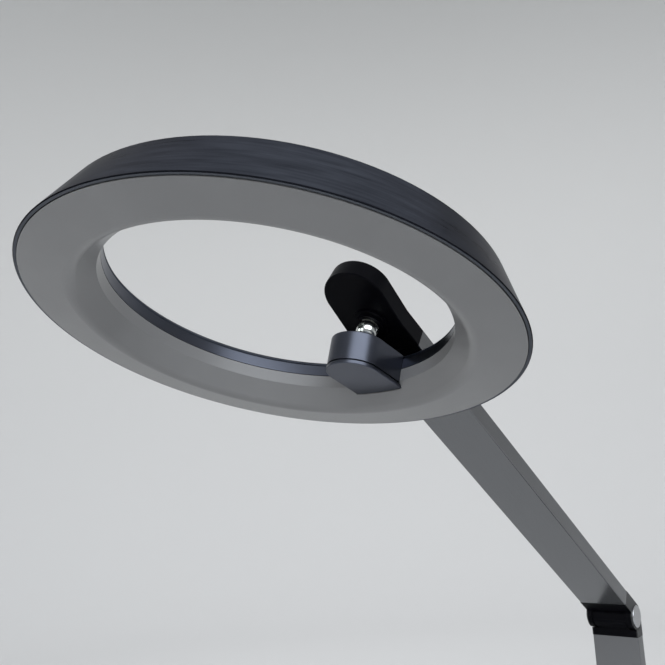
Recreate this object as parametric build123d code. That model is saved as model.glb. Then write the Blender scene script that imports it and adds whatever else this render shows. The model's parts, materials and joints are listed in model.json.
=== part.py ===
from build123d import *
import os
from math import cos, radians, sin

os.makedirs("parts", exist_ok=True)

# Swing arm desk lamp.  Origin: centre of the base's underside.  +Z up, +X from the base
# towards the lamp head, and the lamp is symmetric about the XZ plane.  All lengths in mm.

# ---- driving dimensions -------------------------------------------------------------
ARM_WIDTH = 33.4          # both arms are flat rectangular tubes
ARM_DEPTH = 10.5
ARM_WALL = 1.6
PIN_INSET = 1.3           # the elbow pin lies this far behind the arms' inner faces
ARM_PITCH = 340.0         # lower arm, shoulder pin to elbow pin
STUD_X = 338.74           # elbow pin to the head's stud, along the upper arm laid flat
BALL_IN_CAP = -6.82       # ball centre from the elbow pin's level, with the cap laid flat
CRANK_X = 335.0           # where the arm cap bends up, from the elbow pin
CAP_CRANK = 8.0           # degrees, how far it bends
ARM_RISE = 33.0           # degrees, upper arm above the horizontal at rest
HEAD_TILT = 19.0          # degrees, lamp ring above the horizontal at rest

BASE_R = 105.0
BASE_HEIGHT = 16.0
SHOULDER_Z = 48.0

RING_R = 110.0            # lower rim of the lamp ring
RING_TOP_R = 99.0
RING_HEIGHT = 24.0
HOLE_R = 78.2             # the ring's inner wall
SHEET = 2.0               # ring housing wall
BALL_R = 5.6
BALL_IN_RING = (-62.9, 31.0)   # ball centre in the ring's frame: along its X, above its rim

RUNNING = 0.05            # radial clearance of a shaft in its bush
GAP = 0.3                 # between faces that move past each other

# ---- sizes that follow --------------------------------------------------------------
HALF_WIDTH = ARM_WIDTH / 2
TUBE_LOW = -PIN_INSET                 # arm's inner face, from the pin
TUBE_HIGH = ARM_DEPTH - PIN_INSET     # arm's outer face, from the pin
KNUCKLE_R = TUBE_HIGH                 # hinge ears run out tangent to the outer face
CUT_R = KNUCKLE_R + 0.4               # what turns past an ear is cut back to this
BARREL_R = 9.0
BARREL_HALF = 11.6
WASHER_THICK = 1.0
EAR_INNER = BARREL_HALF + WASHER_THICK + 0.25
EAR_OUTER = 16.0                      # black ear, inside its side cover
AXLE_R = 4.0
BUSH_R = 5.5
CAP_R = 7.8
TONGUE_HALF = HALF_WIDTH - ARM_WALL - 0.1
TONGUE_LOW = TUBE_LOW + ARM_WALL + 0.1
TONGUE_HIGH = TUBE_HIGH - ARM_WALL - 0.1
TUBE_MIDDLE = (TUBE_LOW + TUBE_HIGH) / 2
CLEVIS_END = 21.5                     # where the upper tube starts, from the elbow pin
KNUCKLE_END = 14.8                    # where the lower tube ends, from either pin
WRIST = 318.5                         # where the upper tube ends and the arm cap starts
CAP_TIP = 371.8
SHOULDER_R = 10.0
ELBOW = Vector(ARM_DEPTH / 2 - PIN_INSET, 0, SHOULDER_Z + ARM_PITCH)


def sloped_plane(origin, degrees):
    """A frame about the Y axis whose X climbs at the given angle."""
    a = radians(degrees)
    return Plane(origin=origin, x_dir=(cos(a), 0, sin(a)), z_dir=(-sin(a), 0, cos(a)))


UPPER_ARM = sloped_plane(ELBOW, ARM_RISE)
CRANK_POINT = Pos(CRANK_X, 0, TUBE_MIDDLE)
CRANK = CRANK_POINT * Rot(0, -CAP_CRANK, 0) * CRANK_POINT.inverse()
CAP = Plane(UPPER_ARM.location * CRANK)
BALL = CAP.from_local_coords(Vector(STUD_X, 0, BALL_IN_CAP))
RING_AT_BALL = sloped_plane(BALL, HEAD_TILT)
RING_CENTRE = RING_AT_BALL.from_local_coords(Vector(-BALL_IN_RING[0], 0, -BALL_IN_RING[1]))
HEAD = sloped_plane(RING_CENTRE, HEAD_TILT)
# Lower arm seen from its two pins: X runs along the arm away from the pin.
LOWER_AT_ELBOW = Plane(origin=ELBOW, x_dir=(0, 0, -1), z_dir=(-1, 0, 0))
LOWER_AT_SHOULDER = Plane(origin=(0, 0, SHOULDER_Z), x_dir=(0, 0, 1), z_dir=(1, 0, 0))


# ---- shape helpers ------------------------------------------------------------------
def block(x0, x1, half_y, z0, z1):
    return Pos((x0 + x1) / 2, 0, (z0 + z1) / 2) * Box(x1 - x0, 2 * half_y, z1 - z0)


def disc(radius, z0, z1, x=0.0, y=0.0):
    return Pos(x, y, (z0 + z1) / 2) * Cylinder(radius, z1 - z0)


def washer(outer, inner, z0, z1, x=0.0, y=0.0):
    return disc(outer, z0, z1, x, y) - disc(inner, z0, z1, x, y)


def cross_disc(radius, y0, y1, x=0.0, z=0.0):
    """A disc about an axis along Y."""
    return Pos(x, (y0 + y1) / 2, z) * Rot(90, 0, 0) * Cylinder(radius, y1 - y0)


def cross_washer(outer, inner, y0, y1):
    return cross_disc(outer, y0, y1) - cross_disc(inner, y0, y1)


def both_sides(shape):
    """The shape and its mirror image across the XZ plane."""
    return Part() + [shape, mirror(shape, Plane.XZ)]


def turned(*outline):
    """A closed outline of (radius, height) points turned about Z."""
    return revolve(Plane.XZ * make_face(Polyline(*outline, close=True)), Axis.Z)


def hex_nut(across_flats, bore, z0, z1, x=0.0):
    blank = extrude(RegularPolygon(across_flats / 2, 6, major_radius=False), z1 - z0)
    return Pos(x, 0, z0) * blank - disc(bore, z0, z1, x)


def circles(shape, radius, height):
    """The shape's circular edges of this radius at this height."""
    found = []
    for edge in shape.edges().filter_by(GeomType.CIRCLE):
        middle = edge.bounding_box().center().Z
        if abs(edge.radius - radius) < 0.05 and abs(middle - height) < 0.05:
            found.append(edge)
    return found


def ear_outline(reach):
    """Side view of a hinge ear: round about the pin, then as deep as the arm up to reach."""
    arm = Pos(reach / 2, (TUBE_LOW + TUBE_HIGH) / 2) * Rectangle(reach, ARM_DEPTH)
    return Circle(KNUCKLE_R) + arm


def ear(reach, y0, y1):
    """A hinge ear between two heights across the arm, on the +Y side."""
    return Pos(0, y1, 0) * extrude(Plane.XZ * ear_outline(reach), y1 - y0)


def countersunk(radius, length):
    """A flush screw pointing down from z = 0."""
    head = Pos(0, 0, -radius / 2) * Cone(radius, 2 * radius, radius)
    return head + disc(radius, -length, -radius)


# ---- base ---------------------------------------------------------------------------
PAD_THICK = 1.5
PLATE_LOW = BASE_HEIGHT - 3.0         # underside of the cover's top plate
SPINDLE_R = 5.0
SWIVEL_BUSH_R = 8.0
POCKET_R = 14.5                       # room for the swivel nut under the weight's step
POCKET_TOP = 9.5
BUSH_FLANGE = 1.0
TURRET_LOW = BASE_HEIGHT + BUSH_FLANGE + GAP
TURRET_HIGH = 30.0
TURRET_R = 22.0
INLET_Z = 7.4
INLET_NOSE_R = 5.5
INLET_BORE_R = 4.5
INLET_FACE = -BASE_R + 0.3
INLET_BORE_DEPTH = 4.0
BASE_SCREW_PLACES = [(70 * cos(radians(a)), 70 * sin(radians(a))) for a in (45, 135, 225, 315)]


def base_pad():
    return disc(BASE_R - 5, 0, PAD_THICK)


def base_weight():
    weight = disc(BASE_R - 3.5, PAD_THICK, PLATE_LOW)
    weight -= disc(SWIVEL_BUSH_R, PAD_THICK, PLATE_LOW)
    weight -= disc(POCKET_R, PAD_THICK, POCKET_TOP)
    weight -= block(-BASE_R, -84, 9, PAD_THICK, PLATE_LOW)
    for x, y in BASE_SCREW_PLACES:
        weight -= disc(2.2, PAD_THICK, PLATE_LOW, x, y)
        weight -= disc(4.5, PAD_THICK, PAD_THICK + 3.0, x, y)
    return weight


def base_cover():
    cover = disc(BASE_R, 1.0, BASE_HEIGHT) - disc(BASE_R - 2.5, 1.0, PLATE_LOW)
    cover = fillet(circles(cover, BASE_R, BASE_HEIGHT), 2.2)
    cover -= disc(SWIVEL_BUSH_R, PLATE_LOW, BASE_HEIGHT)
    bore = Pos(-BASE_R, 0, INLET_Z) * Rot(0, 90, 0) * Cylinder(INLET_NOSE_R, 12)
    for x, y in BASE_SCREW_PLACES:
        cover -= disc(2.0, PLATE_LOW, PLATE_LOW + 2.2, x, y)
    return cover - bore


def base_screws():
    screws = Part()
    for x, y in BASE_SCREW_PLACES:
        head = disc(3.6, PAD_THICK + 0.2, PAD_THICK + 3.0, x, y)
        socket = Pos(x, y, PAD_THICK + 0.2) * extrude(RegularPolygon(1.5, 6), 1.4)
        screws += head - socket + disc(2.0, PAD_THICK + 3.0, PLATE_LOW + 2.0, x, y)
    return screws


def along_inlet(radius, x0, x1):
    return Pos((x0 + x1) / 2, 0, INLET_Z) * Rot(0, 90, 0) * Cylinder(radius, x1 - x0)


def power_inlet():
    """Low-voltage socket: a recess for the plug's nose, then the bore round the centre pin."""
    floor = INLET_FACE + INLET_BORE_DEPTH
    back = -86.0
    body = block(-101.5, back, 7, PAD_THICK + 0.2, PLATE_LOW - 0.2)
    body += along_inlet(INLET_NOSE_R, INLET_FACE, -101.0)
    body -= along_inlet(INLET_BORE_R, INLET_FACE, floor)
    body -= along_inlet(3.0, floor, back - 3)
    return body


def inlet_pin():
    return along_inlet(1.0, INLET_FACE + INLET_BORE_DEPTH + 1.0, -89.0)


def swivel_bush():
    bush = disc(SWIVEL_BUSH_R, POCKET_TOP, BASE_HEIGHT)
    bush += disc(14, BASE_HEIGHT, BASE_HEIGHT + BUSH_FLANGE)
    return bush - disc(SPINDLE_R + RUNNING, POCKET_TOP, BASE_HEIGHT + BUSH_FLANGE)


# ---- turret -------------------------------------------------------------------------
NUT_LOW = 3.0
NUT_HIGH = 8.0
SPINDLE_TOP = 27.0


def swivel_spindle():
    """Hollow threaded spindle: the supply wire runs up through it."""
    return washer(SPINDLE_R, 3.0, NUT_LOW - 0.6, SPINDLE_TOP)


def swivel_washer():
    return washer(12.0, SPINDLE_R, NUT_HIGH, POCKET_TOP - GAP)


def swivel_nut():
    return hex_nut(17.0, SPINDLE_R, NUT_LOW, NUT_HIGH)


def shoulder_yoke():
    turret = disc(TURRET_R, TURRET_LOW, TURRET_HIGH)
    turret = fillet(circles(turret, TURRET_R, TURRET_HIGH), 2.0)
    turret -= disc(SPINDLE_R, TURRET_LOW, SPINDLE_TOP)
    turret -= disc(3.0, SPINDLE_TOP, TURRET_HIGH)
    cheek = Pos(0, (EAR_INNER + HALF_WIDTH) / 2, (TURRET_HIGH + SHOULDER_Z) / 2 - 2) * Box(
        2 * SHOULDER_R, HALF_WIDTH - EAR_INNER, SHOULDER_Z - TURRET_HIGH + 4
    )
    cheek += cross_disc(SHOULDER_R, EAR_INNER, HALF_WIDTH, z=SHOULDER_Z)
    cheek -= cross_disc(AXLE_R, EAR_INNER, HALF_WIDTH, z=SHOULDER_Z)
    return turret + both_sides(cheek)


# ---- the two hinges: axle, caps, bushes and friction washers --------------------------
def hinge_axle():
    return cross_disc(AXLE_R, -EAR_OUTER - 0.4, EAR_OUTER + 0.4)


def hinge_caps():
    cap = cross_disc(CAP_R, HALF_WIDTH, HALF_WIDTH + 1.0)
    outer_rim = [
        edge
        for edge in cap.edges().filter_by(GeomType.CIRCLE)
        if edge.bounding_box().center().Y > HALF_WIDTH + 0.5
    ]
    cap = fillet(outer_rim, 0.7)
    cap += cross_disc(AXLE_R, EAR_OUTER + 0.4, HALF_WIDTH)
    return both_sides(cap)


def hinge_bushes():
    return both_sides(cross_washer(BUSH_R, AXLE_R + RUNNING, 1.0, BARREL_HALF))


def hinge_washers():
    outer = BARREL_HALF + WASHER_THICK
    return both_sides(cross_washer(8.6, AXLE_R + RUNNING, BARREL_HALF, outer))


# ---- lower arm ----------------------------------------------------------------------
TONGUE_LENGTH = 24.0
FLUTES = 8
FLUTE_R = 2.2
FLUTE_DEPTH = 0.45
SCREW_R = 1.5
WIRE_R = 1.2


def tongue(start, low, high):
    """The part of a fitting that fills the end of its tube, with a channel for the wire."""
    end = start + TONGUE_LENGTH
    middle = (low + high) / 2
    shape = block(start, end, TONGUE_HALF, low, high)
    channel = Pos((start + end) / 2, 0, middle) * Rot(0, 90, 0) * Cylinder(2.0, end - start)
    for y in (-9, 9):
        shape -= Pos(start + 12, y, high) * Cylinder(SCREW_R, 8)
    return shape - channel


def arm_tube(start, end, low, high):
    tube = block(start, end, HALF_WIDTH, low, high)
    tube = fillet(tube.edges().filter_by(Axis.X), 0.8)
    return tube - block(start, end, HALF_WIDTH - ARM_WALL, low + ARM_WALL, high - ARM_WALL)


def tube_screws(start, high):
    """Two flush screws in a tube's outer face, over the tongue that starts there."""
    screw = Pos(start + 12, 9, high - 0.05) * countersunk(SCREW_R, 4.0)
    return both_sides(screw)


def lower_arm_foot():
    half_depth = ARM_DEPTH / 2
    foot = block(SHOULDER_R, KNUCKLE_END, HALF_WIDTH, -half_depth, half_depth)
    foot -= cross_disc(SHOULDER_R + 0.4, -HALF_WIDTH, HALF_WIDTH)
    foot += block(0, KNUCKLE_END - 2, BARREL_HALF, -half_depth, half_depth)
    foot += cross_disc(SHOULDER_R - 0.2, -BARREL_HALF, BARREL_HALF)
    foot -= cross_disc(BUSH_R, -BARREL_HALF, BARREL_HALF)
    inner = half_depth - ARM_WALL - 0.1
    return foot + Rot(180, 0, 0) * tongue(KNUCKLE_END, -inner, inner)


def lower_arm_tube():
    tube = arm_tube(KNUCKLE_END, ARM_PITCH - KNUCKLE_END, -ARM_DEPTH / 2, ARM_DEPTH / 2)
    return tube - lower_arm_screws()


def lower_arm_screws():
    """Local to the shoulder pin: both pairs are in the face turned away from the head."""
    at_foot = Rot(180, 0, 0) * tube_screws(KNUCKLE_END, ARM_DEPTH / 2)
    at_knuckle = mirror(at_foot, Plane.YZ)
    return Part() + [at_foot, Pos(ARM_PITCH, 0, 0) * at_knuckle]


def lower_arm_knuckle():
    """Fluted barrel between the upper arm's ears, and the block that fills the tube's end."""
    knuckle = block(KNUCKLE_R - 2, KNUCKLE_END, EAR_OUTER, TUBE_LOW, TUBE_HIGH)
    knuckle -= cross_disc(CUT_R, -HALF_WIDTH, HALF_WIDTH)
    knuckle += block(0, KNUCKLE_END - 2, BARREL_HALF, TUBE_LOW, BARREL_R)
    barrel = cross_disc(BARREL_R, -BARREL_HALF, BARREL_HALF)
    for number in range(FLUTES):
        angle = radians(200 + 360 / FLUTES * number)
        centre = BARREL_R + FLUTE_R - FLUTE_DEPTH
        x = centre * cos(angle)
        z = centre * sin(angle)
        barrel -= cross_disc(FLUTE_R, -BARREL_HALF, BARREL_HALF, x, z)
    knuckle += barrel
    knuckle -= cross_disc(BUSH_R, -BARREL_HALF, BARREL_HALF)
    return knuckle + tongue(KNUCKLE_END, TONGUE_LOW, TONGUE_HIGH)


def lower_hinge_covers():
    """Side plates in the arm's finish beside the black knuckle block."""
    cover = ear(KNUCKLE_END, EAR_OUTER, HALF_WIDTH)
    return both_sides(cover - cross_disc(CUT_R, EAR_OUTER, HALF_WIDTH))


def wire(start, end, height):
    return Pos((start + end) / 2, 0, height) * Rot(0, 90, 0) * Cylinder(WIRE_R, end - start)


# ---- upper arm ----------------------------------------------------------------------
CAP_WALL = 2.0
CAP_FLOOR = TUBE_LOW + 2.2
LID_LOW = 8.0
STUD_R = 3.0
STUD_BUSH_R = 4.8
STUD_FLANGE_R = 7.5
COLLAR_R = 9.5
STUD_BUSH_TOP = CAP_FLOOR + 1.2


def upper_arm_clevis():
    """Two ears on the elbow axle, and the block that fills the tube's end."""
    middle = block(4, CLEVIS_END, EAR_INNER, TUBE_LOW, TUBE_HIGH)
    middle -= cross_disc(CUT_R, -EAR_INNER, EAR_INNER)
    side = ear(CLEVIS_END, EAR_INNER, EAR_OUTER) - cross_disc(AXLE_R, EAR_INNER, EAR_OUTER)
    return middle + both_sides(side) + tongue(CLEVIS_END, TONGUE_LOW, TONGUE_HIGH)


def upper_hinge_covers():
    cover = ear(CLEVIS_END, EAR_OUTER, HALF_WIDTH)
    return both_sides(cover - cross_disc(AXLE_R, EAR_OUTER, HALF_WIDTH))


def upper_arm_tube():
    return arm_tube(CLEVIS_END, WRIST, TUBE_LOW, TUBE_HIGH) - upper_arm_screws()


def upper_arm_screws():
    at_cap = Pos(CLEVIS_END + WRIST, 0, 0) * mirror(tube_screws(CLEVIS_END, TUBE_HIGH), Plane.YZ)
    return Part() + [tube_screws(CLEVIS_END, TUBE_HIGH), at_cap]


def cap_outline(inset):
    """Plan view of the arm cap: straight sides and a half-round end."""
    half = HALF_WIDTH - inset
    centre = CAP_TIP - HALF_WIDTH
    start = WRIST + inset
    sides = Pos((start + centre) / 2, 0) * Rectangle(centre - start, 2 * half)
    return sides + Pos(centre, 0) * Circle(half)


def cap_slab(inset, z0, z1):
    return Pos(0, 0, z0) * extrude(cap_outline(inset), z1 - z0)


def cranked(shape):
    """The shape with its outer part bent up, mitred where the bend is."""
    near = CRANK_POINT * Rot(0, -CAP_CRANK / 2, 0) * Pos(-100, 0, 0) * Box(200, 100, 100)
    return (shape & near) + (CRANK * shape - near)


def arm_cap():
    cap = cap_slab(0, TUBE_LOW, LID_LOW)
    lower_rim = cap.edges().filter_by(lambda e: abs(e.center().Z - TUBE_LOW) < 0.01)
    lower_rim = lower_rim.filter_by(lambda e: e.center().X > WRIST + 1)
    cap = chamfer(lower_rim, 0.5)
    cap = cranked(cap - cap_slab(CAP_WALL, CAP_FLOOR, LID_LOW))
    cap += CRANK * disc(COLLAR_R, TUBE_LOW, TUBE_LOW + 1.5, STUD_X)
    cap -= CRANK * disc(STUD_BUSH_R, TUBE_LOW - 1, CAP_FLOOR, STUD_X)
    cap -= CRANK * disc(STUD_FLANGE_R + 0.3, CAP_FLOOR, CAP_FLOOR + 2, STUD_X)
    cap -= Pos(WRIST + CAP_WALL / 2, 0, TUBE_MIDDLE) * Rot(0, 90, 0) * Cylinder(2.0, CAP_WALL)
    return cap + mirror(tongue(-WRIST, TONGUE_LOW, TONGUE_HIGH), Plane.YZ)


def arm_cap_lid():
    lid = cap_slab(0, LID_LOW, TUBE_HIGH)
    upper_rim = lid.edges().filter_by(lambda e: abs(e.center().Z - TUBE_HIGH) < 0.01)
    upper_rim = upper_rim.filter_by(lambda e: e.center().X > WRIST + 1)
    lid = chamfer(upper_rim, 0.5)
    return cranked(lid + cap_slab(CAP_WALL + 0.15, LID_LOW - 1.0, LID_LOW))


def stud_bush():
    bush = disc(STUD_BUSH_R, TUBE_LOW, CAP_FLOOR, STUD_X)
    bush += disc(STUD_FLANGE_R, CAP_FLOOR, STUD_BUSH_TOP, STUD_X)
    return bush - disc(STUD_R + RUNNING, TUBE_LOW, STUD_BUSH_TOP, STUD_X)


def stud_collar():
    """Stepped black collar round the ball, under the cap."""
    collar = disc(COLLAR_R, TUBE_LOW - 1.2, TUBE_LOW, STUD_X)
    collar += disc(7.2, TUBE_LOW - 2.4, TUBE_LOW - 1.2, STUD_X)
    return collar - disc(BALL_R - 0.2, TUBE_LOW - 2.4, TUBE_LOW, STUD_X)


# ---- swivel between arm and head ------------------------------------------------------
STUD_TOP = 6.4
CROSS_PIN_R = 1.1
TONGUE_THICK = 1.3        # half thickness of the neck's tongue
TONGUE_R = 3.0
SLOT_HALF = TONGUE_THICK + GAP


def swivel_ball():
    """Chrome ball on a stud.  A slot in its lower half takes the neck's tongue."""
    shoulder = (STUD_R, (BALL_R**2 - STUD_R**2) ** 0.5)
    foot = (1.0, -((BALL_R**2 - 1.0) ** 0.5))
    top = STUD_TOP - BALL_IN_CAP
    outline = [
        ThreePointArc(foot, (BALL_R, 0), shoulder),
        Polyline(shoulder, (STUD_R, top), (0, top), (0, foot[1]), foot),
    ]
    ball = revolve(Plane.XZ * make_face(outline), Axis.Z)
    slot = block(-BALL_R - 1, BALL_R + 1, SLOT_HALF, -BALL_R - 1, 0)
    slot += cross_disc(TONGUE_R + 0.4, -SLOT_HALF, SLOT_HALF)
    ball -= slot
    ball -= cross_disc(CROSS_PIN_R, -BALL_R - 1, BALL_R + 1)
    return Pos(STUD_X, 0, BALL_IN_CAP) * ball


def knuckle_pin():
    return cross_disc(CROSS_PIN_R, 0.3 - BALL_R, BALL_R - 0.3, STUD_X, BALL_IN_CAP)


def stud_washer():
    low = STUD_BUSH_TOP + GAP
    return washer(6.8, STUD_R, low, low + 0.8, STUD_X)


def stud_nut():
    low = STUD_BUSH_TOP + GAP + 0.8
    return hex_nut(8.0, STUD_R, low, low + 2.6, STUD_X)


# ---- neck, in the ring's frame --------------------------------------------------------
NECK_X, NECK_Z = BALL_IN_RING
BOSS_TOP = 22.0
BOSS_LOW = 7.3
BOSS_ROOF = BOSS_TOP - 2.5
NECK_R = 2.5
NECK_BUSH_R = 4.5
NECK_BUSH_LOW = BOSS_ROOF - 1.2
NECK_NUT_HIGH = NECK_BUSH_LOW - GAP - 0.8
NECK_NUT_LOW = NECK_NUT_HIGH - 3.0


def neck():
    """Tongue on the cross pin, a collar, and the shaft that turns in the boss."""
    pivot = cross_disc(TONGUE_R, -TONGUE_THICK, TONGUE_THICK, NECK_X, NECK_Z)
    pivot += Pos(NECK_X, 0, 0) * block(-2.2, 2.2, TONGUE_THICK, NECK_Z - 7, NECK_Z)
    pivot -= cross_disc(CROSS_PIN_R + RUNNING, -TONGUE_THICK, TONGUE_THICK, NECK_X, NECK_Z)
    pivot += disc(3.6, BOSS_TOP + GAP, NECK_Z - BALL_R - 0.6, NECK_X)
    return pivot + disc(NECK_R, NECK_NUT_LOW - 0.4, BOSS_TOP + GAP, NECK_X)


def neck_washer():
    return washer(5.5, NECK_R, NECK_NUT_HIGH, NECK_NUT_HIGH + 0.8, NECK_X)


def neck_nut():
    return hex_nut(7.0, NECK_R, NECK_NUT_LOW, NECK_NUT_HIGH, NECK_X)


def neck_bush():
    bush = disc(NECK_BUSH_R, BOSS_ROOF, BOSS_TOP, NECK_X)
    bush += disc(6.5, NECK_BUSH_LOW, BOSS_ROOF, NECK_X)
    return bush - disc(NECK_R + RUNNING, NECK_BUSH_LOW, BOSS_TOP, NECK_X)


# ---- boss on the ring -----------------------------------------------------------------
BOSS_HALF = 13.75
BOSS_ROUND_X = -58.3
BOSS_END_R = 79.0
COVER_LOW = 4.8
COVER_HIGH = 6.5
COVER_END_R = 80.7        # the cover reaches further out than the boss
FLANGE_X = -90.0          # where the boss is screwed under the ring's top plate
FLANGE_HALF = 11.0
FLANGE_LOW = 18.0
FLANGE_HIGH = 20.0
FLANGE_SCREW_Y = 7.0


def boss_outline(inset, end):
    """Plan view of the boss: round towards the ring's centre, ending on an arc of the ring."""
    half = BOSS_HALF - inset
    reach = end + 10
    sides = Pos((BOSS_ROUND_X - reach) / 2, 0) * Rectangle(reach + BOSS_ROUND_X, 2 * half)
    return (Pos(BOSS_ROUND_X, 0) * Circle(half) + sides) & Circle(end - inset)


def boss_slab(inset, z0, z1, end=BOSS_END_R):
    return Pos(0, 0, z0) * extrude(boss_outline(inset, end), z1 - z0)


def boss_housing():
    boss = boss_slab(0, BOSS_LOW, BOSS_TOP)
    upper_rim = boss.edges().filter_by(lambda e: abs(e.center().Z - BOSS_TOP) < 0.01)
    boss = fillet(upper_rim, 0.6)
    boss -= boss_slab(2.0, BOSS_LOW, BOSS_ROOF)
    flange = block(FLANGE_X - 5, -BOSS_END_R + 2.5, FLANGE_HALF, FLANGE_LOW, FLANGE_HIGH)
    flange -= disc(BOSS_END_R - 1, FLANGE_LOW, FLANGE_HIGH)
    for y in (-FLANGE_SCREW_Y, FLANGE_SCREW_Y):
        flange -= disc(1.25, FLANGE_LOW, FLANGE_HIGH, FLANGE_X, y)
    boss -= disc(NECK_BUSH_R, BOSS_ROOF, BOSS_TOP, NECK_X)
    return boss + flange


def touch_cover():
    """Flat touch switch cover under the boss, with a shadow gap above its rim."""
    cover = boss_slab(0, COVER_LOW, COVER_HIGH, COVER_END_R)
    lower_rim = cover.edges().filter_by(lambda e: abs(e.center().Z - COVER_LOW) < 0.01)
    cover = chamfer(lower_rim, 0.3)
    cover += boss_slab(1.2, COVER_HIGH, BOSS_LOW)
    return cover + boss_slab(2.15, BOSS_LOW, BOSS_LOW + 1.2)


def touch_board():
    return boss_slab(2.6, BOSS_LOW + 1.2, BOSS_LOW + 2.8)


def boss_screws():
    head = disc(2.3, FLANGE_LOW - 1.6, FLANGE_LOW, FLANGE_X, FLANGE_SCREW_Y)
    shank = disc(1.25, FLANGE_LOW, RING_HEIGHT - 0.9, FLANGE_X, FLANGE_SCREW_Y)
    return both_sides(head + shank)


# ---- lamp ring ------------------------------------------------------------------------
SHELF = RING_HEIGHT - SHEET           # underside of the ring's top plate
RIM_WALL = 1.6
DIFFUSER_RIM_R = RING_R - 1.9
DIFFUSER_LOW = -2.6                   # crease between the flat part and the cone
CREASE_R = 86.4
CONE_TOP = 7.7                        # where the cone meets the ring's inner wall
DIFFUSER_TOP = 14.0
TRIM_LOW = DIFFUSER_TOP + 0.35        # shadow gap between diffuser and trim
BOARD_INNER = 87.5
BOARD_OUTER = 97.2
BOARD_LOW = SHELF - 1.6
LED_R = 92.5
LED_COUNT = 54
BOARD_SCREW_R = 89.2
NOTCH_HALF = 12.5


def boss_room():
    """What is cut from the diffuser to let the boss and its cover in."""
    low = COVER_LOW - 0.3
    return boss_slab(-0.15, low, 30) + boss_slab(-0.15, low, COVER_HIGH + 0.3, COVER_END_R)


def ring_housing():
    housing = turned(
        (RING_R - 0.5, 0),
        (RING_R - 0.1, 0.4),
        (RING_TOP_R, RING_HEIGHT),
        (86.5, RING_HEIGHT),
        (80.2, 22.2),
        (79.3, 21.3),
        (80.0, 20.4),
        (81.0, 20.2),
        (87.0, SHELF),
        (RING_TOP_R - 1.4, SHELF),
        (RING_R - RIM_WALL, 0),
    )
    housing = fillet(circles(housing, RING_TOP_R, RING_HEIGHT), 0.8)
    for y in (-FLANGE_SCREW_Y, FLANGE_SCREW_Y):
        housing += disc(3.2, FLANGE_HIGH, SHELF, FLANGE_X, y)
        housing -= disc(1.25, FLANGE_HIGH, RING_HEIGHT - 0.8, FLANGE_X, y)
    for place in board_screw_places():
        housing -= place * disc(1.0, SHELF, SHELF + 1.3, BOARD_SCREW_R)
    return housing


def inner_trim():
    """Inner wall of the ring, a separate band with a shadow gap above it."""
    trim = turned(
        (HOLE_R, TRIM_LOW),
        (79.0, 20.0),
        (81.0, 20.0),
        (86.0, 21.5),
        (86.3, 20.6),
        (81.2, 19.1),
        (80.6, 18.6),
        (HOLE_R + 1.6, TRIM_LOW),
    )
    return trim - block(-100, -60, BOSS_HALF + 0.2, TRIM_LOW - 1, 25)


def diffuser():
    """Opal ring: flat below, a cone up to the hole, then an upright wall under the trim."""
    opal = turned(
        (DIFFUSER_RIM_R, -0.4),
        (CREASE_R, DIFFUSER_LOW),
        (HOLE_R, CONE_TOP),
        (HOLE_R, DIFFUSER_TOP),
        (HOLE_R + 2.0, DIFFUSER_TOP),
        (HOLE_R + 2.0, CONE_TOP + 0.8),
        (CREASE_R + 0.8, DIFFUSER_LOW + 2.1),
        (DIFFUSER_RIM_R - 2.6, 1.6),
        (DIFFUSER_RIM_R - 3.2, 3.0),
        (DIFFUSER_RIM_R - 1.5, 3.0),
        (DIFFUSER_RIM_R - 0.5, 1.0),
    )
    opal = fillet(circles(opal, CREASE_R, DIFFUSER_LOW), 5.5)
    opal = fillet(circles(opal, HOLE_R, CONE_TOP), 0.4)
    return opal - boss_room()


def outer_reflector():
    return turned((105.9, 3.4), (98.4, 18.6), (97.6, 18.6), (105.1, 3.4))


def inner_reflector():
    liner = washer(84.4, 83.6, 8.0, 18.6)
    return liner - block(-100, -60, NOTCH_HALF, 0, 30)


def led_board():
    board = washer(BOARD_OUTER, BOARD_INNER, BOARD_LOW, SHELF)
    board -= block(-100, -60, NOTCH_HALF, 0, 30)
    for place in board_screw_places():
        board -= place * disc(1.0, BOARD_LOW, SHELF, BOARD_SCREW_R)
    return board


def board_screw_places():
    return [Rot(0, 0, 360 / 8 * (number + 0.5)) for number in range(8)]


def board_screws():
    screw = disc(1.5, BOARD_LOW - 1.0, BOARD_LOW, BOARD_SCREW_R)
    screw += disc(1.0, BOARD_LOW, SHELF + 1.2, BOARD_SCREW_R)
    return Part() + [place * screw for place in board_screw_places()]


def leds():
    """Light-emitting diodes on the board, none over the boss's flange."""
    led = Pos(LED_R, 0, BOARD_LOW - 0.35) * Box(3.5, 2.8, 0.7)
    group = []
    for number in range(LED_COUNT):
        angle = 360 / LED_COUNT * (number + 0.5)
        if LED_R * abs(sin(radians(angle))) > NOTCH_HALF + 2 or cos(radians(angle)) > 0:
            group.append(Rot(0, 0, angle) * led)
    return Part() + group


# ---- every piece in its place -----------------------------------------------------------
def placed(frame, *pieces):
    """Each function's shape, moved from its own frame, under the function's name."""
    return {piece.__name__: frame.location * piece() for piece in pieces}


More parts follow.
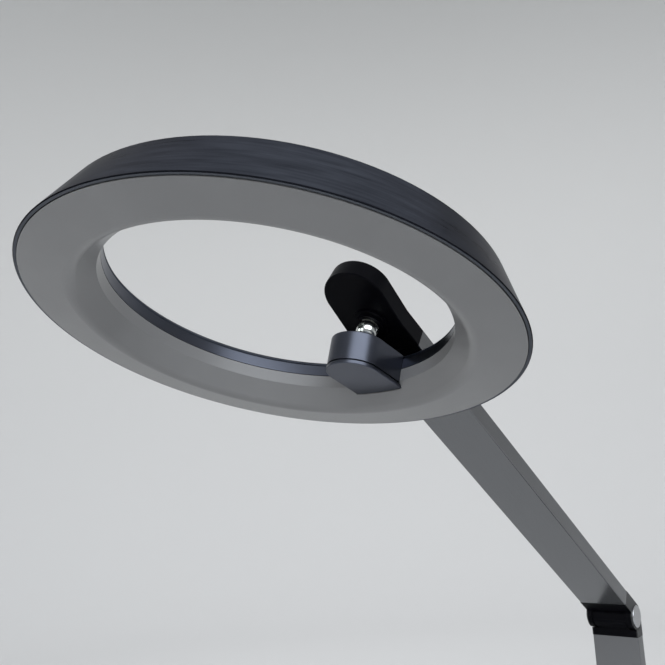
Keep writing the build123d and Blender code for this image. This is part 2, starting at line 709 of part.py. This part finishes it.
def lamp():
    world = Plane.XY
    shoulder = Plane(origin=(0, 0, SHOULDER_Z))
    nodes = placed(world, base_pad, base_weight, base_cover, base_screws, power_inlet, inlet_pin)
    nodes |= placed(world, swivel_bush, swivel_spindle, swivel_washer, swivel_nut, shoulder_yoke)
    nodes |= placed(LOWER_AT_SHOULDER, lower_arm_foot, lower_arm_tube, lower_arm_screws)
    nodes |= placed(LOWER_AT_ELBOW, lower_arm_knuckle, lower_hinge_covers)
    nodes |= placed(UPPER_ARM, upper_arm_clevis, upper_hinge_covers, upper_arm_tube)
    nodes |= placed(UPPER_ARM, upper_arm_screws, arm_cap, arm_cap_lid)
    nodes |= placed(CAP, stud_bush, stud_collar, swivel_ball, knuckle_pin)
    nodes |= placed(CAP, stud_washer, stud_nut)
    nodes |= placed(HEAD, neck, neck_washer, neck_nut, neck_bush, boss_housing, touch_cover)
    nodes |= placed(HEAD, touch_board, boss_screws, ring_housing, inner_trim, diffuser)
    nodes |= placed(HEAD, outer_reflector, inner_reflector, led_board, board_screws, leds)
    for name, frame in (("shoulder", shoulder), ("elbow", UPPER_ARM)):
        nodes[name + "_pin"] = frame.location * hinge_axle()
        nodes[name + "_caps"] = frame.location * hinge_caps()
        nodes[name + "_bushes"] = frame.location * hinge_bushes()
        nodes[name + "_washers"] = frame.location * hinge_washers()
    lower_wire = wire(KNUCKLE_END + 2, ARM_PITCH - KNUCKLE_END - 2, 0)
    nodes["lower_arm_wire"] = LOWER_AT_SHOULDER.location * lower_wire
    nodes["upper_arm_wire"] = UPPER_ARM.location * wire(CLEVIS_END + 2, WRIST + 12, TUBE_MIDDLE)
    return nodes


for node, shape in lamp().items():
    export_step(shape, f"parts/{node}.step")
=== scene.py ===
import json
import math

import bmesh
import bpy
from mathutils import Matrix, Vector

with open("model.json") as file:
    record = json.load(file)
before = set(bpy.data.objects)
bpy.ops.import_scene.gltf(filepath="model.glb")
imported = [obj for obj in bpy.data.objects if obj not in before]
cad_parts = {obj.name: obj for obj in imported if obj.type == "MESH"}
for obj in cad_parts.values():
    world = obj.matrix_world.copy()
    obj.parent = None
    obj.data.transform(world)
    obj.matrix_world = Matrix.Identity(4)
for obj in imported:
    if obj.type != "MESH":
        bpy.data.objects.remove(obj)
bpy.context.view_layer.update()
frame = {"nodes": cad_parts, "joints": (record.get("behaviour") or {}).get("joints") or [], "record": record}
NODES = frame["nodes"]
JOINTS = {joint["name"]: joint for joint in frame["joints"]}

# ---- the lamp's own frames, in metres, from the joints --------------------------------
ELBOW = Vector(JOINTS["elbow"]["pos_m"])
BALL = Vector(JOINTS["head_turn"]["pos_m"])
RING_UP = Vector(JOINTS["head_twist"]["axis"])
SIDE = Vector((0, 1, 0))
ARM_RISE = math.radians(33)
ARM_UP = Vector((-math.sin(ARM_RISE), 0, math.cos(ARM_RISE)))
RING_ALONG = SIDE.cross(RING_UP)
RING_RADIUS = 0.110
BALL_TO_CENTRE = (0.0629, -0.031)     # from the ball to the ring's centre: along, up
RING_CENTRE = BALL + RING_ALONG * BALL_TO_CENTRE[0] + RING_UP * BALL_TO_CENTRE[1]


# ---- camera ---------------------------------------------------------------------------
def make_camera():
    """Below the free edge of the ring on its +Y side, looking up through it at the elbow."""
    distance = 3.092 * RING_RADIUS
    below = math.radians(24.58)         # under the ring's plane
    round_ring = math.radians(42.285)   # round the ring, from +Y towards its free edge
    pan = math.radians(-4.338)
    tilt = math.radians(0.898)
    roll = math.radians(-12.249)
    away = -SIDE * math.cos(round_ring) - RING_ALONG * math.sin(round_ring)
    offset = -away * math.cos(below) - RING_UP * math.sin(below)
    forward = -offset
    right = forward.cross(RING_UP).normalized()
    up = right.cross(forward)
    start = Matrix((right, up, forward))
    turn = Matrix.Rotation(roll, 3, "Z") @ Matrix.Rotation(tilt, 3, "X")
    turn = turn @ Matrix.Rotation(pan, 3, "Y")
    right, up, forward = turn @ start
    data = bpy.data.cameras.new("camera")
    data.lens = 42.31
    data.sensor_width = 36.0
    data.clip_start = 0.01
    camera = bpy.data.objects.new("camera", data)
    bpy.context.scene.collection.objects.link(camera)
    pose = Matrix((right, up, -forward)).transposed().to_4x4()
    pose.translation = RING_CENTRE + offset * distance
    camera.matrix_world = pose
    bpy.context.scene.camera = camera


# ---- stage and light --------------------------------------------------------------------
def turned_mesh(name, outline, segments):
    """A mesh of (radius, height) points turned about the world's Z."""
    shape = bmesh.new()
    rings = []
    for radius, height in outline:
        ring = []
        for step in range(segments):
            a = 2 * math.pi * step / segments
            ring.append(shape.verts.new((radius * math.cos(a), radius * math.sin(a), height)))
        rings.append(ring)
    for low, high in zip(rings, rings[1:]):
        for step in range(segments):
            after = (step + 1) % segments
            shape.faces.new((low[step], low[after], high[after], high[step]))
    mesh = bpy.data.meshes.new(name)
    shape.to_mesh(mesh)
    shape.free()
    mesh.polygons.foreach_set("use_smooth", [True] * len(mesh.polygons))
    made = bpy.data.objects.new(name, mesh)
    bpy.context.scene.collection.objects.link(made)
    return made


def make_stage():
    """A pale floor that curves up into a wall all round."""
    flat = 2.3            # radius of the flat part
    bend = 1.0            # radius of the curve between floor and wall
    wall = 3.6            # height of the wall's top
    below_base = -0.0003  # the floor lies just clear of the lamp's underside
    bend_steps = 12
    outline = [(radius, below_base) for radius in (0.001, 0.6, 1.4, flat)]
    for step in range(1, bend_steps + 1):
        a = math.pi / 2 * step / bend_steps
        outline.append((flat + bend * math.sin(a), bend * (1 - math.cos(a))))
    outline.append((flat + bend, wall))
    stage = turned_mesh("studio_floor", outline, 96)
    stage.location = (0.15, 0, 0)     # between base and head
    material, tree, shader = new_material("studio_paper")
    # Painted shade: the paper's colour darkens with height, standing in for the light falling off up the
    # wall.
    height = add(tree, "ShaderNodeSeparateXYZ", Vector=coordinates(tree))
    painted_falloff = add(tree, "ShaderNodeMapRange", Value=height.outputs["Z"])
    painted_falloff.inputs["From Min"].default_value = 0.0
    painted_falloff.inputs["From Max"].default_value = 3.2  # the paper darkens up to this height
    tone = mix_colours(tree, painted_falloff.outputs[0], (0.80, 0.80, 0.80), (0.63, 0.63, 0.62))
    link(tree, tone, shader.inputs["Base Color"])
    shader.inputs["Roughness"].default_value = 0.9
    shader.inputs["Specular IOR Level"].default_value = 0.1
    stage.data.materials.append(material)


def area_light(name, place, target, size, power, tint=(1, 1, 1)):
    """A soft rectangular light aimed at a point, left out of the camera's view."""
    data = bpy.data.lights.new(name, "AREA")
    data.shape = "RECTANGLE"
    data.size, data.size_y = size
    data.energy = power
    data.color = tint
    light = bpy.data.objects.new(name, data)
    bpy.context.scene.collection.objects.link(light)
    light.location = place
    light.rotation_mode = "QUATERNION"
    light.rotation_quaternion = (Vector(target) - Vector(place)).to_track_quat("-Z", "Y")
    light.visible_camera = False


def make_light():
    world = bpy.data.worlds.new("studio_air")
    bpy.context.scene.world = world
    world.use_nodes = True
    background = world.node_tree.nodes["Background"]
    background.inputs["Color"].default_value = (0.93, 0.96, 1.0, 1)
    background.inputs["Strength"].default_value = 0.5
    area_light("softbox", (1.25, 1.15, 1.38), (0.36, 0, 0.56), (2.2, 1.4), 28, (0.89, 0.945, 1.0))
    area_light("fill", (2.1, -0.75, 0.85), (0.05, 0, 0.4), (1.5, 0.9), 4.0)
    area_light("wall_wash", (-0.8, -0.6, 1.8), (-2.4, -2.2, 0.8), (2.8, 1.4), 19)
    bpy.context.scene.view_settings.view_transform = "Standard"


# ---- material helpers -----------------------------------------------------------------
def new_material(name):
    material = bpy.data.materials.new(name)
    material.use_nodes = True
    tree = material.node_tree
    return material, tree, tree.nodes["Principled BSDF"]


def link(tree, output, socket):
    tree.links.new(output, socket)


def add(tree, kind, **values):
    """A node with its named sockets linked or set."""
    node = tree.nodes.new(kind)
    for key, value in values.items():
        socket = node.inputs[key]
        if isinstance(value, bpy.types.NodeSocket):
            link(tree, value, socket)
        else:
            socket.default_value = value
    return node


def coordinates(tree):
    """The point on the surface in the lamp's frame at rest, in metres."""
    return tree.nodes.new("ShaderNodeTexCoord").outputs["Object"]


def math_node(tree, operation, *values):
    node = tree.nodes.new("ShaderNodeMath")
    node.operation = operation
    for socket, value in zip(node.inputs, values):
        if isinstance(value, bpy.types.NodeSocket):
            link(tree, value, socket)
        else:
            socket.default_value = value
    return node.outputs[0]


def mix_colours(tree, factor, first, second):
    node = tree.nodes.new("ShaderNodeMix")
    node.data_type = "RGBA"
    link(tree, factor, node.inputs[0])
    for socket, value in ((node.inputs[6], first), (node.inputs[7], second)):
        if isinstance(value, bpy.types.NodeSocket):
            link(tree, value, socket)
        else:
            socket.default_value = (*value, 1)
    return node.outputs[2]


def spread(tree, value, low, high):
    """A noise value widened to run from low to high."""
    node = add(tree, "ShaderNodeMapRange", Value=value)
    node.inputs["From Min"].default_value = 0.3
    node.inputs["From Max"].default_value = 0.7
    node.inputs["To Min"].default_value = low
    node.inputs["To Max"].default_value = high
    return node.outputs[0]


def noise(tree, vector, scale, detail=2.0, roughness=0.5):
    node = add(tree, "ShaderNodeTexNoise", Vector=vector)
    node.inputs["Scale"].default_value = scale
    node.inputs["Detail"].default_value = detail
    node.inputs["Roughness"].default_value = roughness
    return node.outputs["Fac"]


def bump(tree, shader, height, strength, distance):
    node = add(tree, "ShaderNodeBump", Height=height)
    node.inputs["Strength"].default_value = strength
    node.inputs["Distance"].default_value = distance
    link(tree, node.outputs[0], shader.inputs["Normal"])


def turned_frame(tree, origin, up_axis):
    """Coordinates about a tilted axis in the XZ plane: X along, Y across, Z up the axis."""
    shifted = tree.nodes.new("ShaderNodeVectorMath")
    shifted.operation = "SUBTRACT"
    link(tree, coordinates(tree), shifted.inputs[0])
    shifted.inputs[1].default_value = origin
    turn = tree.nodes.new("ShaderNodeVectorRotate")
    turn.rotation_type = "Y_AXIS"
    link(tree, shifted.outputs[0], turn.inputs["Vector"])
    turn.inputs["Angle"].default_value = math.atan2(-up_axis.x, up_axis.z)
    return turn.outputs[0]


def stretched(tree, vector, scales):
    node = tree.nodes.new("ShaderNodeVectorMath")
    node.operation = "MULTIPLY"
    link(tree, vector, node.inputs[0])
    node.inputs[1].default_value = scales
    return node.outputs[0]


# ---- materials ------------------------------------------------------------------------
def brushed_round(name, dark, light, streaks):
    """Anodised aluminium brushed round the ring's axis."""
    material, tree, shader = new_material(name)
    local = add(tree, "ShaderNodeSeparateXYZ", Vector=turned_frame(tree, RING_CENTRE, RING_UP))
    x, y, z = local.outputs
    radius = math_node(tree, "SQRT", math_node(
        tree, "ADD", math_node(tree, "MULTIPLY", x, x), math_node(tree, "MULTIPLY", y, y)))
    angle = math_node(tree, "ARCTAN2", y, x)
    # The angle's jump at its seam is hidden by feeding its sine and cosine.
    streaks_round = 4.5       # higher gives shorter streaks
    lines_outward = 1300.0    # brush lines per metre on faces across the axis
    lines_upward = 1500.0     # brush lines per metre on the upright wall
    turn_x = math_node(tree, "MULTIPLY", math_node(tree, "COSINE", angle), streaks_round)
    turn_y = math_node(tree, "MULTIPLY", math_node(tree, "SINE", angle), streaks_round)
    depth = math_node(tree, "ADD", math_node(tree, "MULTIPLY", radius, lines_outward),
                      math_node(tree, "MULTIPLY", z, lines_upward))
    lay = add(tree, "ShaderNodeCombineXYZ", X=turn_x, Y=turn_y, Z=depth)
    fine = noise(tree, lay.outputs[0], 1.0, 3.0, 0.65)
    coarseness = 0.22
    coarse_depth = math_node(tree, "MULTIPLY", depth, coarseness)
    broad = add(tree, "ShaderNodeCombineXYZ", X=turn_x, Y=turn_y, Z=coarse_depth)
    band = noise(tree, broad.outputs[0], 1.0, 2.0, 0.5)
    lines = math_node(tree, "ADD", math_node(tree, "MULTIPLY", fine, 0.6),
                      math_node(tree, "MULTIPLY", band, 0.4))
    tone = mix_colours(tree, spread(tree, lines, 0.0, 1.0), dark, light)
    # Painted light: the flat lip under the ring gets a lighter colour as a painted highlight, and a dark
    # line where it meets the wall is painted shade.
    lip_highlight_depth = 0.00002
    edge_shade_middle = 0.0003
    edge_shade_half = 0.00028
    painted_lip_highlight = math_node(tree, "COMPARE", z, 0.0, lip_highlight_depth)
    tone = mix_colours(tree, painted_lip_highlight, tone, (0.125, 0.134, 0.152))
    painted_edge_shade = math_node(tree, "COMPARE", z, edge_shade_middle, edge_shade_half)
    tone = mix_colours(tree, painted_edge_shade, tone, (0.012, 0.013, 0.017))
    link(tree, tone, shader.inputs["Base Color"])
    shader.inputs["Metallic"].default_value = 1.0
    shader.inputs["Specular Tint"].default_value = (0.52, 0.51, 0.51, 1)
    link(tree, spread(tree, lines, 0.26, 0.36), shader.inputs["Roughness"])
    bump(tree, shader, lines, streaks, 0.00025)
    return material


def brushed_long(name, dark, light, origin, up_axis, roughness):
    """Satin anodised aluminium with a faint grain along the arm."""
    material, tree, shader = new_material(name)
    local = turned_frame(tree, origin, up_axis)
    grain = noise(tree, stretched(tree, local, (60, 5200, 5200)), 1.0, 2.0, 0.6)
    cloud = noise(tree, local, 14.0, 2.0)
    tone = mix_colours(tree, spread(tree, grain, 0.2, 0.8), dark, light)
    tone = mix_colours(tree, spread(tree, cloud, 0.0, 0.12), tone, dark)
    link(tree, tone, shader.inputs["Base Color"])
    shader.inputs["Metallic"].default_value = 1.0
    link(tree, spread(tree, grain, roughness - 0.03, roughness + 0.04), shader.inputs["Roughness"])
    bump(tree, shader, grain, 0.05, 0.0001)
    return material


def satin(name, dark, light, roughness):
    """Bead-blasted anodised aluminium: even, with a very fine grain."""
    material, tree, shader = new_material(name)
    local = coordinates(tree)
    grain = noise(tree, local, 5200.0, 2.0, 0.6)
    cloud = noise(tree, local, 26.0, 2.0)
    tone = mix_colours(tree, spread(tree, cloud, 0.0, 0.5), dark, light)
    tone = mix_colours(tree, spread(tree, grain, 0.0, 0.3), tone, light)
    link(tree, tone, shader.inputs["Base Color"])
    shader.inputs["Metallic"].default_value = 1.0
    link(tree, spread(tree, grain, roughness - 0.03, roughness + 0.04), shader.inputs["Roughness"])
    bump(tree, shader, grain, 0.06, 0.0001)
    return material


def grained(name, tone, roughness, scale, strength, specular=0.5):
    """Moulded or cast surface with a fine random texture."""
    material, tree, shader = new_material(name)
    local = coordinates(tree)
    grain = noise(tree, local, scale, 3.0, 0.6)
    cloud = noise(tree, local, 22.0, 2.0)
    lighter = tuple(min(1.0, c * 1.35 + 0.001) for c in tone)
    link(tree, mix_colours(tree, spread(tree, cloud, 0.0, 1.0), tone, lighter),
         shader.inputs["Base Color"])
    link(tree, spread(tree, grain, roughness - 0.05, roughness + 0.06), shader.inputs["Roughness"])
    shader.inputs["Specular IOR Level"].default_value = specular
    bump(tree, shader, grain, strength, 0.0002)
    return material


def polished(name, tone, low, high):
    """Plated metal with faint wipe marks."""
    material, tree, shader = new_material(name)
    wipe = noise(tree, stretched(tree, coordinates(tree), (300, 300, 900)), 1.0, 3.0)
    cloud = noise(tree, coordinates(tree), 90.0, 2.0)
    darker = tuple(c * 0.93 for c in tone)
    link(tree, mix_colours(tree, spread(tree, cloud, 0, 1), tone, darker),
         shader.inputs["Base Color"])
    shader.inputs["Metallic"].default_value = 1.0
    link(tree, spread(tree, wipe, low, high), shader.inputs["Roughness"])
    bump(tree, shader, wipe, 0.02, 0.0001)
    return material


def opal(name):
    """Unlit satin diffuser: a soft grey sheet with a very fine frosting."""
    material, tree, shader = new_material(name)
    local = coordinates(tree)
    frost = noise(tree, local, 5200.0, 2.0, 0.7)
    cloud = noise(tree, local, 30.0, 2.0)
    tone = mix_colours(tree, spread(tree, cloud, 0.0, 1.0), (0.214, 0.211, 0.211), (0.232, 0.229, 0.229))
    link(tree, tone, shader.inputs["Base Color"])
    link(tree, spread(tree, frost, 0.27, 0.36), shader.inputs["Roughness"])
    shader.inputs["Subsurface Weight"].default_value = 0.12
    shader.inputs["Subsurface Radius"].default_value = (0.004, 0.004, 0.004)
    shader.inputs["Subsurface Scale"].default_value = 1.0
    bump(tree, shader, frost, 0.03, 0.00008)
    return material


def make_materials():
    """One material for each slot of the record, and three finer finishes."""
    return {
        "ring_metal": brushed_round("ring_metal", (0.056, 0.062, 0.078), (0.118, 0.129, 0.158), 0.18),
        "blasted_metal": satin("blasted_metal", (0.082, 0.088, 0.110), (0.104, 0.112, 0.138), 0.31),
        "arm_metal": brushed_long("arm_metal", (0.200, 0.202, 0.208), (0.240, 0.242, 0.248),
                                  ELBOW, ARM_UP, 0.16),
        "dark_metal": satin("dark_metal", (0.052, 0.053, 0.055), (0.066, 0.067, 0.069), 0.30),
        "black_metal": grained("black_metal", (0.001, 0.001, 0.002), 0.42, 3800, 0.10, 0.05),
        "black_plastic": grained("black_plastic", (0.001, 0.001, 0.002), 0.34, 3200, 0.08, 0.06),
        "opal_plastic": opal("opal_plastic"),
        "chrome": polished("chrome", (0.86, 0.87, 0.86), 0.04, 0.10),
        "soft_chrome": polished("soft_chrome", (0.84, 0.86, 0.82), 0.16, 0.24),
        "satin_chrome": satin("satin_chrome", (0.50, 0.50, 0.51), (0.62, 0.62, 0.63), 0.20),
        "steel": polished("steel", (0.50, 0.50, 0.50), 0.28, 0.40),
        "cast_weight": grained("cast_weight", (0.05, 0.05, 0.055), 0.6, 900, 0.3),
        "rubber": grained("rubber", (0.012, 0.012, 0.012), 0.75, 2600, 0.2, 0.3),
        "bearing_plastic": grained("bearing_plastic", (0.62, 0.61, 0.57), 0.45, 2400, 0.05),
        "circuit_board": grained("circuit_board", (0.02, 0.12, 0.05), 0.35, 1500, 0.05),
        "led_board": grained("led_board", (0.75, 0.75, 0.73), 0.45, 1500, 0.05),
        "led": grained("led", (0.80, 0.62, 0.20), 0.30, 1500, 0.03),
        "reflector": grained("reflector", (0.82, 0.82, 0.82), 0.55, 1800, 0.05),
        "wire_sheath": grained("wire_sheath", (0.02, 0.02, 0.02), 0.55, 2000, 0.1),
    }


def dress_nodes(materials):
    """Gives every CAD node the material of its slot, with a finer finish on six of them."""
    finish = {part["node"]: part["material_slot"] for part in frame["record"]["subparts"]}
    for name in ("boss_housing", "touch_cover", "inner_trim"):
        finish[name] = "blasted_metal"
    for name in ("elbow_caps", "shoulder_caps"):
        finish[name] = "satin_chrome"
    finish["swivel_ball"] = "soft_chrome"
    for name, node in NODES.items():
        node.data.materials.clear()
        node.data.materials.append(materials[finish[name]])


make_camera()
make_stage()
make_light()
dress_nodes(make_materials())
